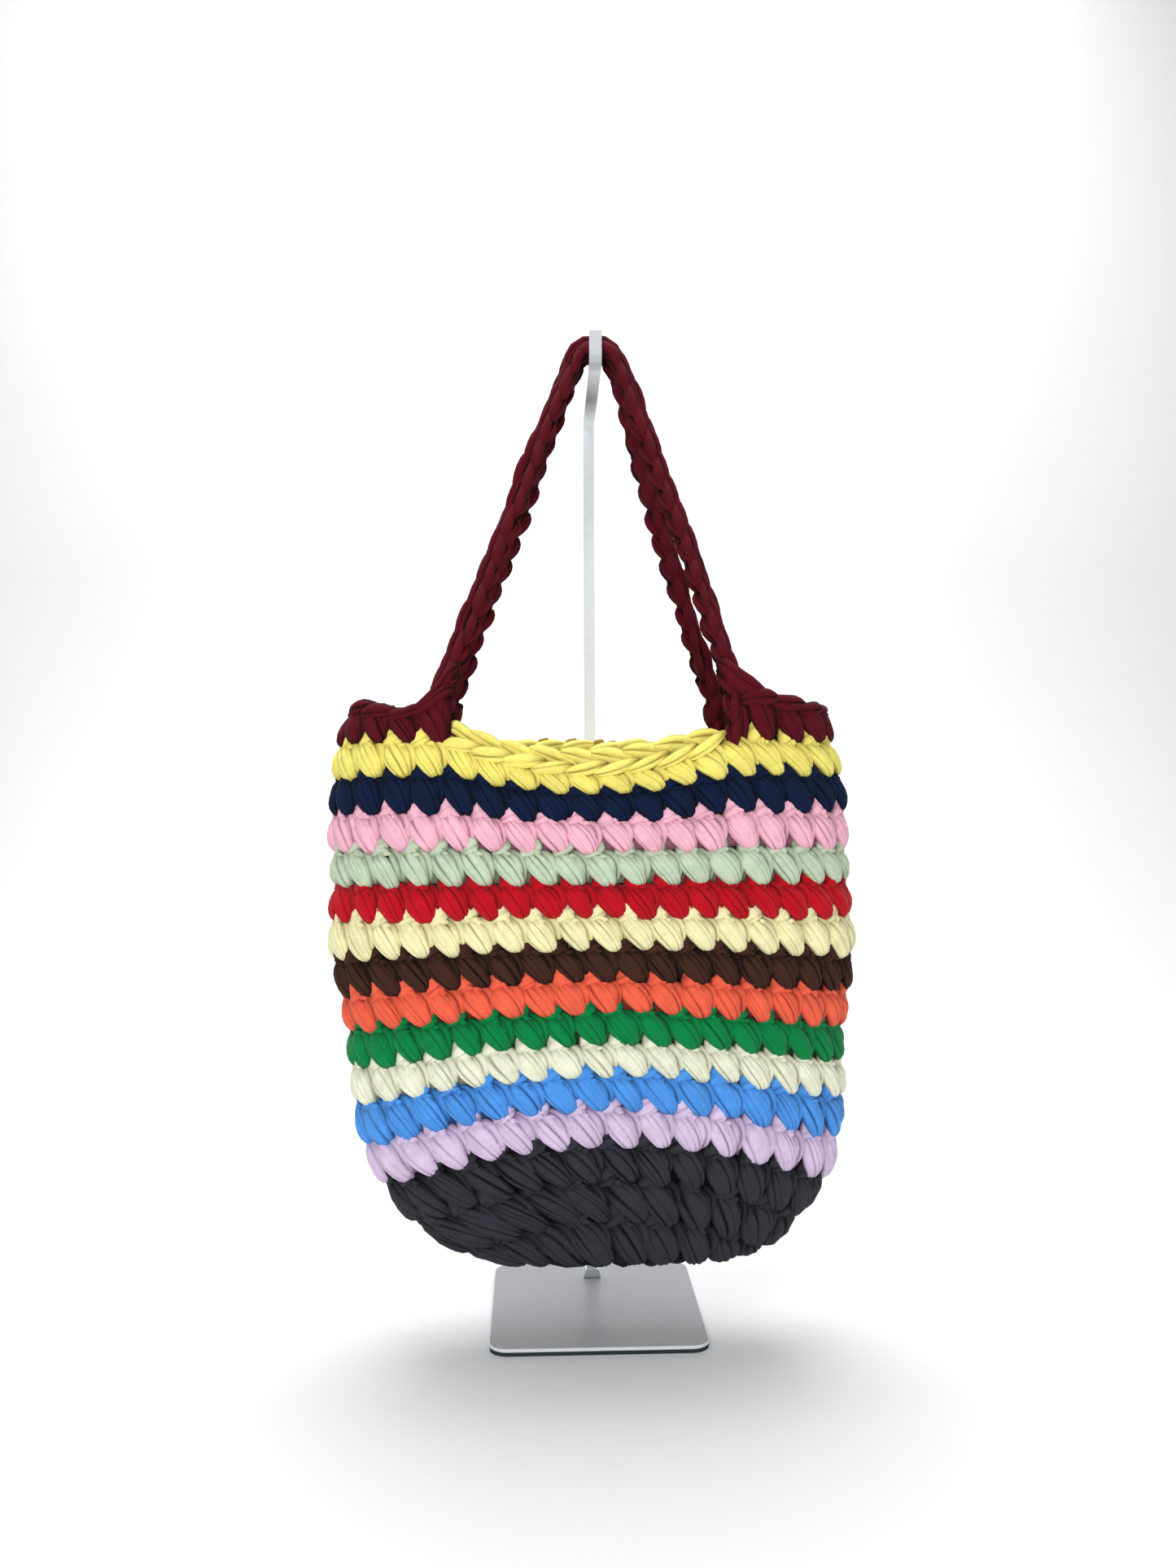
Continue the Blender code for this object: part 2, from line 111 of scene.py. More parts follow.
# Handles: how far the two right strands bow apart, how far an inner bump stands out near the arm as a share,
# and between which distances from the crest it grows to full size
FRONT_BOW = 0.0024
BACK_BOW = -0.0028
INNER_SMALL = 0.62
INNER_FADE = (0.05, 0.13)
# How far a link may reach past a handle's ends, and how much wider the crest is as a share
LINK_SPILL = 0.020
CREST_WIDENING = 0.25
# The plain cord inside a handle: its points round and along, half its width and depth, its shift outwards
CORE_SIDES = 10
CORE_STATIONS = 90
CORE_HALVES = (0.0036, 0.0050)
CORE_SHIFT = 0.0008
# The end of a handle that is buried in its shoulder: how far short of the foot it starts (radians), how high
# over the rim, and how late it moves over to the foot
ROOT_SHORT = 0.060
ROOT_HEIGHT = 0.004
ROOT_EASE = 1.6

# Rows from the rim down: CAD node, width and depth as shares, height of the row's middle at the sides, how
# much higher it is at the middle, sag of the front, sideways shift, where a stitch begins (metres), yarn
ROWS = [
    ("row_yellow", 0.950, 0.94, 0.965, 0.008, 0.048, -0.016, 0.0035, "yellow"),
    ("row_navy", 0.974, 0.96, 0.899, 0.012, 0.030, -0.011, 0.0040, "navy"),
    ("row_pink", 0.980, 0.98, 0.828, 0.012, 0.014, -0.014, 0.0020, "pink"),
    ("row_sage", 0.970, 0.99, 0.763, 0.012, 0.006, -0.010, -0.0070, "sage"),
    ("row_red", 0.980, 1.0, 0.700, 0.012, 0.0, -0.009, -0.0010, "red"),
    ("row_cream", 0.996, 1.0, 0.630, 0.024, 0.0, -0.009, -0.0056, "cream"),
    ("row_brown", 0.980, 1.0, 0.556, 0.040, 0.0, -0.003, -0.0086, "brown"),
    ("row_coral", 0.946, 1.0, 0.494, 0.046, 0.0, -0.001, -0.0069, "coral"),
    ("row_green", 0.934, 0.99, 0.424, 0.058, 0.0, -0.002, -0.0160, "green"),
    ("row_ivory", 0.934, 0.98, 0.357, 0.069, 0.0, 0.004, -0.0098, "ivory"),
    ("row_blue", 0.921, 0.97, 0.287, 0.082, 0.0, 0.005, 0.0085, "blue"),
    ("row_lilac", 0.884, 0.94, 0.210, 0.092, 0.0, 0.013, 0.0056, "lilac"),
    ("row_charcoal", 0.808, 0.90, 0.137, 0.102, 0.0, 0.013, 0.0020, "charcoal"),
    ("row_charcoal_low", 0.685, 0.80, 0.070, 0.099, 0.0, 0.020, 0.0048, "charcoal"),
    ("base", 0.525, 0.56, 0.030, 0.048, 0.0, 0.036, -0.0126, "charcoal"),
]
NODE, WIDTH, DEPTH, SIDE, ARCH, SAG, SHIFT, START, YARN = range(9)
# Rows near the bottom have wider stitches, and the last three lean more
WIDER = {10: 1.05, 11: 1.10, 12: 1.10, 13: 1.12, 14: 1.14}
LEANING = {12: 1.30, 13: 1.45, 14: 1.35}

# Yarn colours: the open surface, and the painted shade that darkens its creases and deep places
YARNS = {
    "burgundy": ((0.096, 0.0032, 0.0105), (0.012, 0.0006, 0.0016)),
    "yellow": ((0.95, 0.835, 0.19), (0.248, 0.155, 0.0110)),
    "navy": ((0.0030, 0.0105, 0.043), (0.0005, 0.0017, 0.0065)),
    "pink": ((0.95, 0.50, 0.62), (0.2604, 0.0682, 0.1178)),
    "sage": ((0.58, 0.69, 0.50), (0.1054, 0.1364, 0.0744)),
    "red": ((0.53, 0.0035, 0.0125), (0.0880, 0.0004, 0.0011)),
    "cream": ((0.93, 0.88, 0.50), (0.2852, 0.217, 0.0558)),
    "brown": ((0.054, 0.0195, 0.0120), (0.005, 0.002, 0.0013)),
    "coral": ((0.92, 0.135, 0.070), (0.2232, 0.0136, 0.0056)),
    "green": ((0.0, 0.232, 0.058), (0.00000, 0.0372, 0.0072)),
    "ivory": ((0.88, 0.89, 0.68), (0.248, 0.248, 0.1364)),
    "blue": ((0.080, 0.32, 0.82), (0.0062, 0.0403, 0.155)),
    "lilac": ((0.72, 0.57, 0.78), (0.186, 0.1116, 0.2232)),
    "charcoal": ((0.0355, 0.0330, 0.0435), (0.0018, 0.0016, 0.0024)),
}
# Yarns whose brightest channel is below this count as dark: their painted crease shade falls off faster and
# they shine less
DARK_YARN = 0.12
DARK_POWER = 2.4

# Shapes of the parts of one stitch. Each line is a point on the middle of a bundle of yarn: across the stitch
# and down the row in shares, out from the wall's middle, half width, thickness outwards (millimetres).
PETAL = [
    (-0.12, 0.00, 0.8, 2.4, 2.6),
    (-0.01, 0.10, 3.0, 5.6, 4.2),
    (0.14, 0.27, 5.0, 8.2, 5.4),
    (0.33, 0.51, 6.0, 8.8, 6.0),
    (0.51, 0.75, 5.9, 7.5, 5.9),
    (0.61, 0.94, 4.6, 5.8, 5.0),
    (0.65, 1.06, 1.5, 2.9, 3.0),
]
RIGHT_LEG = [
    (0.30, -0.02, 0.6, 2.4, 2.6),
    (0.52, 0.06, 2.6, 4.6, 3.8),
    (0.70, 0.22, 4.0, 5.4, 4.8),
    (0.79, 0.44, 4.4, 5.0, 4.8),
    (0.80, 0.64, 3.8, 4.2, 4.2),
    (0.79, 0.82, 2.6, 3.2, 3.2),
    (0.77, 0.93, 1.0, 1.4, 1.8),
]
PEAK = [
    (0.00, -0.76, 0.6, 0.8, 1.2),
    (0.01, -0.54, 2.2, 3.8, 2.8),
    (0.05, -0.31, 3.2, 7.2, 3.8),
    (0.10, -0.09, 3.8, 8.8, 4.4),
    (0.13, 0.06, 3.6, 7.6, 4.2),
    (0.14, 0.17, 2.8, 2.6, 2.4),
]
KNOT = [
    (0.16, 0.06, 3.6, 1.0, 1.4),
    (0.24, 0.00, 6.0, 2.4, 2.3),
    (0.33, 0.01, 6.0, 2.4, 2.3),
    (0.40, 0.08, 3.8, 1.0, 1.4),
]
LOW_KNOT = [
    (0.27, 0.15, 4.4, 1.0, 1.4),
    (0.34, 0.09, 6.4, 2.0, 2.1),
    (0.43, 0.09, 6.2, 1.9, 2.0),
    (0.49, 0.16, 4.0, 0.9, 1.2),
]
INNER = [
    (0.05, -0.06, 2.5, 3.0, 3.0),
    (0.16, 0.22, 4.2, 7.0, 4.6),
    (0.36, 0.56, 4.4, 8.0, 5.0),
    (0.52, 0.90, 4.0, 6.0, 4.0),
    (0.58, 1.10, 2.0, 2.0, 2.0),
]
INNER_LEG = [
    (0.58, -0.06, 2.0, 3.0, 3.0),
    (0.80, 0.25, 3.6, 5.5, 4.2),
    (0.86, 0.62, 3.6, 5.5, 4.2),
    (0.74, 1.02, 1.8, 2.2, 2.2),
]
# The two strands of the braid along the open rim
RIM_FRONT = [
    (-0.40, 0.15, 2.8, 1.4, 1.8),
    (-0.14, 0.10, 6.0, 3.6, 3.4),
    (0.22, 0.03, 7.6, 4.8, 4.0),
    (0.60, -0.05, 6.6, 4.5, 3.8),
    (0.92, -0.12, 4.2, 3.2, 3.0),
    (1.14, -0.15, 1.6, 1.2, 1.6),
]
RIM_BACK = [
    (-0.36, -0.13, -0.5, 1.4, 1.8),
    (-0.06, -0.10, -2.2, 3.8, 3.8),
    (0.32, -0.04, -3.2, 5.0, 4.4),
    (0.68, 0.03, -2.6, 4.5, 4.0),
    (0.96, 0.11, -1.4, 3.0, 3.0),
    (1.14, 0.16, 0.2, 1.2, 1.6),
]
# The two strands of the chain along a shoulder's top, and a strand that ties it to a handle's outer side
TOP_FRONT = [
    (-0.55, 0.18, 3.0, 1.6, 2.2),
    (-0.20, 0.14, 5.8, 4.4, 4.2),
    (0.25, 0.07, 7.0, 5.4, 4.6),
    (0.70, 0.00, 6.2, 4.8, 4.4),
    (1.12, -0.03, 3.0, 2.2, 2.6),
]
TOP_BACK = [
    (-0.30, 0.02, -1.0, 2.0, 2.4),
    (0.00, 0.05, -3.6, 4.4, 4.2),
    (0.40, 0.06, -4.4, 5.0, 4.4),
    (0.75, 0.05, -3.6, 4.4, 4.2),
    (1.05, 0.02, -1.0, 2.0, 2.2),
]
TIE = [
    (-0.66, -0.56, 1.0, 1.6, 2.0),
    (-0.38, -0.42, 4.0, 3.6, 3.6),
    (0.10, -0.21, 5.6, 4.6, 4.4),
    (0.72, -0.03, 6.2, 4.4, 4.2),
    (1.40, 0.10, 3.0, 2.2, 2.6),
]
# Links of a handle: place along it in links, then to its inner side, out, half width and thickness (mm)
LINK_OUTER = [
    (-0.55, -2.2, 0.8, 1.4, 1.8),
    (-0.05, -4.2, 1.4, 3.4, 3.4),
    (0.50, -4.9, 1.8, 3.7, 3.6),
    (0.95, -4.2, 1.4, 3.2, 3.2),
    (1.35, -2.4, 0.4, 1.4, 1.8),
]
LINK_INNER = [
    (-0.62, -0.5, 2.4, 1.4, 1.8),
    (-0.38, 1.6, 3.8, 3.0, 3.2),
    (-0.08, 4.4, 3.2, 3.3, 3.6),
    (0.22, 5.2, 0.6, 3.0, 3.3),
    (0.45, 3.6, -1.0, 1.6, 2.0),
]
LINK_MIDDLE = [
    (-0.62, 0.9, 2.4, 0.8, 1.2),
    (-0.34, 0.9, 4.8, 3.0, 3.2),
    (0.02, 0.4, 6.0, 4.3, 4.0),
    (0.42, -0.5, 5.2, 3.4, 3.6),
    (0.85, -1.4, 2.8, 2.0, 2.4),
    (1.10, -1.6, 1.2, 1.0, 1.4),
]

# A bundle's section: how wide its strands are against each other, how deep the creases between them and the
# deepest one are, the share of the height that a full crease takes, and the back's points and height
STRAND_WIDTHS = (0.55, 1.5)
CREASE_DEPTHS = (0.22, 0.70)
DEEPEST_CREASE = (0.85, 1.0)
CREASE_CUT = 0.44
BACK_STEPS = 3
BACK_HEIGHT = 0.8
# Places across one strand, and how much of its crease's painted shade each of them has
STRAND_STEPS = {0.0: 1.0, 0.14: 0.4, 0.5: 0.0, 0.86: 0.4}
# How open to the light a bundle's edge, its back and a plain band are, from 0 to 1, which sets their painted
# shade
EDGE_OPEN = 0.25
BACK_OPEN = 0.3
BAND_OPEN = 0.1
# How open to the light a place is by its depth in the wall, so that deep places get painted shade: the least,
# the share that it starts from, and from which depth and over how many metres it grows (metres)
DEEP_OPEN = 0.15
MIDDLE_OPEN = 0.10
OPEN_FROM = 0.002
OPEN_OVER = 0.0100

# Numbers that start each kind of bundle's chance
SEED = 1009
SEED_SHIFT = 5000
RIM_SEED = 200
FLOOR_SEED = 300
SHOULDER_SEED = 400
TOP_SEED = 500
TIE_SEED = 520
FRONT_SEED = 600
BACK_SEED = 700

# Room: the floor's reach in metres, and the lights' names, places, aims, sizes in metres and powers in watts
FLOOR_SIDE = 4.0
FLOOR_FRONT = -3.0
FLOOR_BEND = 1.2
BEND_RADIUS = 0.9
BEND_STEPS = 12
FLOOR_TOP = 3.5
LIGHTS = [
    ("key", (-0.45, -1.75, 1.15), (0.0, -0.06, 0.32), 0.7, 20.5),
    ("fill", (1.6, -1.5, 0.9), (0.0, -0.06, 0.30), 1.4, 5.0),
    ("top", (-0.1, -0.15, 1.9), (0.0, -0.08, 0.4), 0.9, 9.0),
    ("back", (0.0, 0.9, 2.4), (0.0, 1.6, 0.6), 2.0, 62.0),
]
SURROUND_COLOUR = (0.93, 0.96, 1.0, 1.0)
SURROUND_STRENGTH = 0.25
# Camera: place in metres, turns in radians, lens and sensor in millimetres
CAMERA_PLACE = (-0.046, -1.110, 0.425)
CAMERA_TURN = (math.radians(90 - 0.16), math.radians(0.25), -0.0380)
CAMERA_LENS = 31.76
CAMERA_SENSOR = 36.0
CAMERA_NEAR = 0.05


def seeded(*numbers):
    """A generator of chance numbers that always gives the same ones for the same place."""
    return np.random.default_rng([SEED, *[int(number) + SEED_SHIFT for number in numbers]])


def between(before, start, end, after, share):
    """The smooth curve from start to end at a share of the way, with the points before and after them."""
    return (
        start * (2 * share**3 - 3 * share**2 + 1)
        + (end - before) / 2 * (share**3 - 2 * share**2 + share)
        + end * (3 * share**2 - 2 * share**3)
        + (after - start) / 2 * (share**3 - share**2)
    )


# The wall: seams between rows, as points round the bag, and the way out of the wall at each


def outline_point(turn, row):
    """Middle of the wall along one row at each angle."""
    width = row[WIDTH] * BAG_WIDTH - WALL
    depth = row[DEPTH] * BAG_DEPTH - WALL
    power = 2 / PLAN_SQUARENESS
    x = width / 2 * np.sign(np.cos(turn)) * np.abs(np.cos(turn)) ** power
    y = depth / 2 * np.sign(np.sin(turn)) * np.abs(np.sin(turn)) ** power
    across = np.abs(x) / (width / 2)
    hang = np.clip(1 - (across / HANDLE_SPREAD) ** 2, 0, 1) * (y < 0)
    z = BAG_BOTTOM + BAG_HEIGHT * (row[SIDE] + row[ARCH] * (1 - across**2) - row[SAG] * hang)
    return np.column_stack([x + row[SHIFT] * BAG_WIDTH, y - BAG_FORWARD, z])


def from_end(turn):
    """How far each angle is from the nearer end of the bag: 0 there, 1 at a handle."""
    return np.abs(np.mod(turn + math.pi / 2, math.pi) - math.pi / 2) / HANDLE_TURN


def shoulder_height(turn):
    """How high the shoulders rise over the rim at each angle."""
    left = np.interp(from_end(turn), *LEFT_TOP)
    right = np.interp(from_end(turn), *RIGHT_TOP)
    return np.where(np.cos(turn) < 0, left, right)


def shoulder_lean(turn):
    """How far the shoulders' tops lean in from the bag's two ends at each angle, as moves sideways."""
    most = np.where(np.cos(turn) < 0, LEFT_LEAN, -RIGHT_LEAN)
    return most * np.clip(1 - from_end(turn) / LEAN_END, 0, 1)


def wall_table():
    """Points of the wall's middle at each level and angle, the outward way there, and how far round each is.

    Level 1 is the shoulders' tops, with level 0 as far again above them. Level 2 is the rim, and each level
    after it the next seam down. The last three close the bottom.
    """
    turn = np.arange(ROUND) * 2 * math.pi / ROUND - math.pi / 2
    middles = [outline_point(turn, row) for row in ROWS]
    seams = [(above + below) / 2 for above, below in zip(middles, middles[1:])]
    rim = 2 * middles[0] - seams[0]
    up = np.array([0.0, 0.0, 1.0])
    rise = shoulder_height(turn)[:, None] * up
    lean = shoulder_lean(turn)[:, None] * (1.0, 0.0, 0.0)
    centre = np.array([ROWS[-1][SHIFT] * BAG_WIDTH, -BAG_FORWARD, 0.0])
    rings = []
    for wide, deep, height in FLOOR_RINGS:
        ring = centre + (seams[-1] - centre) * (wide, deep, 0.0)
        ring[:, 2] = BAG_BOTTOM + height
        rings.append(ring)
    lines = np.array([rim + 2 * rise + EDGE_LEAN * lean, rim + rise + lean, rim] + seams + rings)
    down = np.gradient(lines, axis=0)
    down[: RIM_LEVEL + 1] = -up
    along = np.roll(lines, -1, axis=1) - np.roll(lines, 1, axis=1)
    out = np.cross(down, along)
    out /= np.linalg.norm(out, axis=2, keepdims=True)
    steps = np.linalg.norm(np.roll(lines, -1, axis=1) - lines, axis=2)
    return lines, out, np.cumsum(steps, axis=1) - steps, steps.sum(axis=1)


RIM_LEVEL = 2
LINES, OUTWARD, RUN, LENGTH = wall_table()


def blend_levels(table, level, column):
    """Smooth curve through a table's levels, read at any level and at any place round the bag."""
    last = len(table) - 1
    level = np.clip(level, 0, last - 1e-6)
    low = np.floor(level).astype(int)
    left = np.floor(column).astype(int)
    part = (column - left)[:, None]
    picked = []
    for offset in (-1, 0, 1, 2):
        line = np.clip(low + offset, 0, last)
        picked.append(table[line, left % ROUND] * (1 - part) + table[line, (left + 1) % ROUND] * part)
    return between(*picked, (level - low)[:, None])


def on_wall(level, place, depth):
    """Points on the wall: level down the rows, place round the bag (0 to 1), depth outwards in metres."""
    column = np.mod(place, 1.0) * ROUND
    middle = blend_levels(LINES, level, column)
    out = blend_levels(OUTWARD, level, column)
    out /= np.linalg.norm(out, axis=1, keepdims=True)
    return middle + out * depth[:, None]


def row_run(level):
    """How far round the bag each angle is at a level, as shares of its length there, and that length."""
    low = int(level)
    share = level - low
    run = RUN[low] * (1 - share) + RUN[low + 1] * share
    length = LENGTH[low] * (1 - share) + LENGTH[low + 1] * share
    return run / length, length


def row_place(column, run):
    """Places round the bag (0 to 1) of shares of a row's own length."""
    return np.interp(np.mod(column, 1.0), np.append(run, 1.0), np.arange(ROUND + 1) / ROUND)


def row_start(row, level):
    """Where the row's stitches begin, as a share of its length from the front's middle."""
    length = row_run(level + 0.5)[1]
    return (row[START] - row[SHIFT] * BAG_WIDTH) / length


def on_shoulder(begin, spare=0.0):
    """Whether a share of the rim's length lies on one of the two shoulders."""
    turn = row_place(begin, row_run(RIM_LEVEL)[0]) * 2 * math.pi - math.pi / 2
    nearest = abs((turn + math.pi / 2) % math.pi - math.pi / 2)
    return nearest < HANDLE_TURN + spare


# Bundles of yarn


def smooth_path(table, count):
    """A table of points read as a smooth curve, with more points near its two ends."""
    table = np.array(table, float)
    ends = (1 - np.cos(np.linspace(0, math.pi, count))) / 2
    even = np.linspace(0, 1, count)
    where = (0.45 * ends + 0.55 * even) * (len(table) - 1)
    low = np.minimum(where.astype(int), len(table) - 2)
    before = table[np.maximum(low - 1, 0)]
    after = table[np.minimum(low + 2, len(table) - 1)]
    return between(before, table[low], table[low + 1], after, (where - low)[:, None])


def lobed_section(chance, lobes):
    """One bundle's section: places across (-1 to 1), height outwards, and how open each place is.

    The front is cut into strands by creases of uneven depth; the back is a plain curve. Creases, edges and
    the back are less open, so they get painted shade.
    """
    widths = chance.uniform(*STRAND_WIDTHS, lobes)
    edges = np.concatenate([[0], np.cumsum(widths) / widths.sum()])
    depths = chance.uniform(*CREASE_DEPTHS, lobes + 1)
    deepest = chance.integers(1, max(lobes, 2))
    depths[deepest] = chance.uniform(*DEEPEST_CREASE)
    places, heights, opens = [-1.0], [0.0], [EDGE_OPEN]
    for lobe in range(lobes):
        for step, shade in STRAND_STEPS.items():
            if lobe == 0 and step == 0.0:
                continue
            where = edges[lobe] + (edges[lobe + 1] - edges[lobe]) * step
            crease = depths[lobe] * (1 - step) + depths[lobe + 1] * step
            dip = 1 - math.sin(math.pi * step) ** 0.5
            x = -math.cos(math.pi * (0.10 + 0.80 * where))
            places.append(x)
            heights.append(math.sqrt(max(0.0, 1 - x * x)) * (1 - CREASE_CUT * crease * dip))
            opens.append(1 - crease * shade)
    places.append(1.0)
    heights.append(0.0)
    opens.append(EDGE_OPEN)
    for step in range(1, BACK_STEPS + 1):
        angle = math.pi * step / (BACK_STEPS + 1)
        places.append(math.cos(angle))
        heights.append(-BACK_HEIGHT * math.sin(angle))
        opens.append(BACK_OPEN)
    return np.array(places), np.array(heights), np.array(opens)


def shaped(table, chance, pitch, wide=1.0, tall=1.0, count=10):
    """One bundle's path in metres from its table, with a little chance in every measure."""
    path = smooth_path(table, count)
    path[:, 0] = path[:, 0] * pitch
    path[:, 1] = path[:, 1] * ROW_HEIGHT * tall
    path[:, 2:] *= 0.001
    path[:, 3] *= wide * pitch / STITCH
    share = np.linspace(0, 1, count)
    path[:, 0] += chance.normal(0, 0.020) * pitch + chance.normal(0, 0.050) * pitch * share
    path[:, 1] += chance.normal(0, 0.024) * ROW_HEIGHT
    path[:, 2] += chance.normal(0, 0.0003)
    path[:, 3] *= chance.normal(1.0, 0.06)
    path[:, 4] *= chance.normal(1.0, 0.06)
    return path


def wave(chance, share, slow, fast):
    """A wave along a bundle, of chance length and start."""
    return np.sin(share * chance.uniform(slow, fast) + chance.uniform(0, 6))


def bundle(path, chance, lobes, wraps=0, slant=0.0):
    """A bundle's points in flat coordinates: along the row, down it, outwards (metres), and its marks.

    The path's columns are places along and down (metres), out, half width and thickness (metres). Wraps are
    shallow creases across the bundle, with painted shade in them, and slant is how far they lean. The marks
    are how open each point is to the light, which the material paints as shade, and its places across and
    along the bundle in millimetres.
    """
    places, heights, opens = lobed_section(chance, lobes)
    flat = path[:, :2]
    forward = np.gradient(flat, axis=0)
    forward /= np.linalg.norm(forward, axis=1, keepdims=True) + 1e-9
    sideways = np.column_stack([forward[:, 1], -forward[:, 0]])
    length = np.concatenate([[0], np.cumsum(np.linalg.norm(np.diff(flat, axis=0), axis=1))])
    share = np.linspace(0, 1, len(path))
    swing = 0.06 * wave(chance, share, 4, 8)
    across = places[None, :] * (1 + swing[:, None] * (1 - np.abs(places[None, :])))
    height = np.broadcast_to(heights, across.shape).copy()
    openness = np.broadcast_to(opens, across.shape).copy()
    # The painted crease shade grows and fades along the bundle
    fade = 0.55 + 0.45 * wave(chance, share, 3, 7)
    openness = 1 - (1 - openness) * (0.35 + 0.65 * fade[:, None])
    if wraps:
        ripple = np.abs(np.sin(math.pi * wraps * share + chance.uniform(0, 3))) ** 0.5
        height = height * (0.80 + 0.20 * ripple[:, None])
        # Painted shade in the wraps' creases
        openness = openness * (0.35 + 0.65 * ripple[:, None])
    spots = across * path[:, 3:4]
    lean = slant * spots
    points = np.empty((len(path), len(places), 3))
    for axis in (0, 1):
        part = slice(axis, axis + 1)
        points[:, :, axis] = path[:, part] - sideways[:, part] * spots + forward[:, part] * lean
    points[:, :, 2] = path[:, 2:3] + height * path[:, 4:5]
    marks = np.empty_like(points)
    marks[:, :, 0] = openness
    marks[:, :, 1] = across * path[:, 3:4].max() * 1000 + chance.uniform(0, 400)
    marks[:, :, 2] = length[:, None] * 1000 + chance.uniform(0, 400)
    return points, marks


def plain_marks(rings):
    """The marks of a plain band or cord, which lies in the dark: almost all of it gets painted shade."""
    marks = np.zeros_like(rings)
    marks[:, :, 0] = BAND_OPEN
    return marks


class Yarn:
    """Gathers bundles of one colour into one mesh."""

    def __init__(self):
        self.points = []
        self.faces = []
        self.marks = []
        self.count = 0

    def add(self, rings, marks, closed=False):
        """Adds one bundle from rings of points, with an end at each side or closed into a loop."""
        levels, sides = rings.shape[:2]
        grid = self.count + np.arange(levels * sides).reshape(levels, sides)
        self.points.append(rings.reshape(-1, 3))
        self.marks.append(marks.reshape(-1, 3))
        self.count += levels * sides
        upper, lower = (grid, np.roll(grid, -1, axis=0)) if closed else (grid[:-1], grid[1:])
        quads = np.stack([upper, np.roll(upper, -1, axis=1), np.roll(lower, -1, axis=1), lower], axis=-1)
        self.faces.extend(map(tuple, quads.reshape(-1, 4).tolist()))
        if not closed:
            self.faces.append(tuple(grid[0][::-1].tolist()))
            self.faces.append(tuple(grid[-1].tolist()))

    def build(self, label, node, colour):
        """The mesh piece that stands for a node, with the marks that its material reads."""
        mesh = bpy.data.meshes.new(f"crochet_{label}")
        points = np.concatenate(self.points)
        mesh.from_pydata(points.tolist(), [], self.faces)
        # The first channel of these marks is the painted shade; the other two are places across and along the
        # strand
        marks = mesh.color_attributes.new("strand", "FLOAT_COLOR", "POINT")
        values = np.ones((len(points), 4), np.float32)
        values[:, :3] = np.concatenate(self.marks)
        marks.data.foreach_set("color", values.reshape(-1))
        mesh.validate()
        mesh.shade_smooth()
        mesh.materials.append(MATERIALS[colour])
        piece = bpy.data.objects.new(f"crochet_{label}", mesh)
        bpy.context.scene.collection.objects.link(piece)
        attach(piece, "root")
        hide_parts(node)


class Course:
    """One course of stitches: its level on the wall, its length, how many stitches it has and their width."""

    def __init__(self, yarn, level, middle=0.5, stitch=STITCH, least=1):
        self.yarn = yarn
        self.level = level
        self.run, self.length = row_run(level + middle)
        self.count = max(least, round(self.length / stitch))
        self.pitch = self.length / self.count

    def put(self, path, chance, lobes, begin, inside=False, shade=0.0, **folds):
        """Carries one flat bundle to the wall, from a share of the way round; deep parts get painted shade.
        """
        points, marks = bundle(path, chance, lobes, **folds)
        flat = points.reshape(-1, 3)
        place = row_place(begin + flat[:, 0] / self.length, self.run)
        depth = -flat[:, 2] if inside else flat[:, 2]
        placed = on_wall(self.level + flat[:, 1] / ROW_HEIGHT, place, depth).reshape(points.shape)
        out = points[:, :, 2]
        # Painted shade: the deeper a point lies in the wall, the darker its colour
        marks[:, :, 0] *= np.clip(MIDDLE_OPEN + (out - OPEN_FROM + shade) / OPEN_OVER, DEEP_OPEN, 1.0)
        if inside:
            placed, marks = placed[:, ::-1], marks[:, ::-1]
        self.yarn.add(placed, marks)


# Rows of the bag


def add_band(yarn, level, thickness=BAND, top=0.06, bottom=0.94, arc=None):
    """A plain band inside a row, right round the bag or along an arc of it, that the stitches go over."""
    places = np.arange(BAND_POINTS) / BAND_POINTS if arc is None else np.linspace(*arc, ARC_POINTS)
    corners = [(top, 0.6), (0.5, 1.0), (bottom, 0.6), (bottom, -0.6), (0.5, -1.0), (top, -0.6)]
    rings = np.empty((len(places), len(corners), 3))
    for index, (down, out) in enumerate(corners):
        depth = np.full(len(places), out * thickness)
        rings[:, index] = on_wall(np.full(len(places), level + down), places, depth)
    yarn.add(rings, plain_marks(rings), closed=arc is None)


def has_peak(index, begin):
    """Whether a row lies above the stitch for its peak to reach into: none does at shoulders or open rim."""
    if index == SHOULDER_SEED:
        return False
    return index > 0 or on_shoulder(begin, spare=-0.03)


def knit_stitch(course, index, chance, begin, tall, wide):
    """One stitch: a petal and a leg outside, a peak and two knots above them, and two bundles inside."""
    petal = shaped(PETAL, chance, course.pitch, tall=tall, wide=wide, count=11)
    petal[:, 0] *= LEANING.get(index, 1.0)
    course.put(petal, chance, chance.integers(3, 6), begin)
    leg = shaped(RIGHT_LEG, chance, course.pitch, tall=tall, wide=wide)
    course.put(leg, chance, 2, begin)
    if has_peak(index, begin):
        peak = shaped(PEAK, chance, course.pitch, count=18)
        course.put(peak, chance, 1, begin, shade=0.003, wraps=4, slant=0.35)
        for table in (KNOT, LOW_KNOT):
            knot = shaped(table, chance, course.pitch, count=7)
            course.put(knot, chance, 1, begin, shade=0.004, wraps=2)
    lower = UNDER_RIM * ROW_HEIGHT if index == 0 and not on_shoulder(begin) else 0.0
    for table, count, lobes in ((INNER, 6, 2), (INNER_LEG, 5, 1)):
        back = shaped(table, chance, course.pitch, tall=tall, count=count)
        back[:, 1] += lower
        course.put(back, chance, lobes, begin, inside=True)


def knit_row(yarn, index, level, start, picks=None, tall=1.0, wide=1.0):
    """The stitches of one row: all of them, or those whose start is picked."""
    course = Course(yarn, level, stitch=STITCH * WIDER.get(index, 1.0))
    for column in range(course.count):
        begin = start + column / course.count
        if picks is None or picks(begin):
            knit_stitch(course, index, seeded(index, column), begin, tall, wide)


